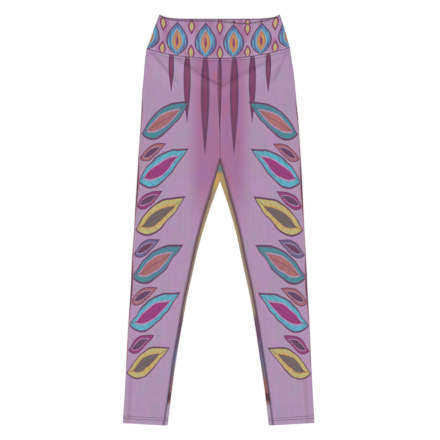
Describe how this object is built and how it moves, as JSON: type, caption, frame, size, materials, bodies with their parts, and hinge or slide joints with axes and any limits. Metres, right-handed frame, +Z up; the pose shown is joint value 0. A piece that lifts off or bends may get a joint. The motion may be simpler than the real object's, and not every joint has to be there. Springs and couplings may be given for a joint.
{
  "type": "leggings",
  "caption": "Ankle-length high-waisted knit leggings laid flat, front side up, with a contoured doubled waistband, wrap-round leg panels and a kite-shaped crotch gusset.",
  "frame": {"origin": "centre of the footprint, on the surface the garment lies on", "axes": "+Y towards the waist, along the garment; +Z up, out of the front; +X towards the wearer's left leg"},
  "size_m": [0.4492, 0.9598, 0.0066],
  "materials": {
    "band_knit": "smooth microfibre knit, low sheen, printed with a row of leaves on a lilac ground",
    "facing_knit": "the same knit on the inside of the band, printed like its outside",
    "leg_knit": "smooth microfibre knit, low sheen, mottled lilac to orchid print with a row of leaves up the outer side",
    "gusset_knit": "smooth microfibre knit, low sheen, ochre wash with a slate front corner"
  },
  "bodies": {
    "root": {"waistband_front": "band_knit", "waistband_back": "band_knit", "waistband_facing": "facing_knit", "leg_left": "leg_knit", "leg_right": "leg_knit", "gusset": "gusset_knit"}
  },
  "joints": []
}
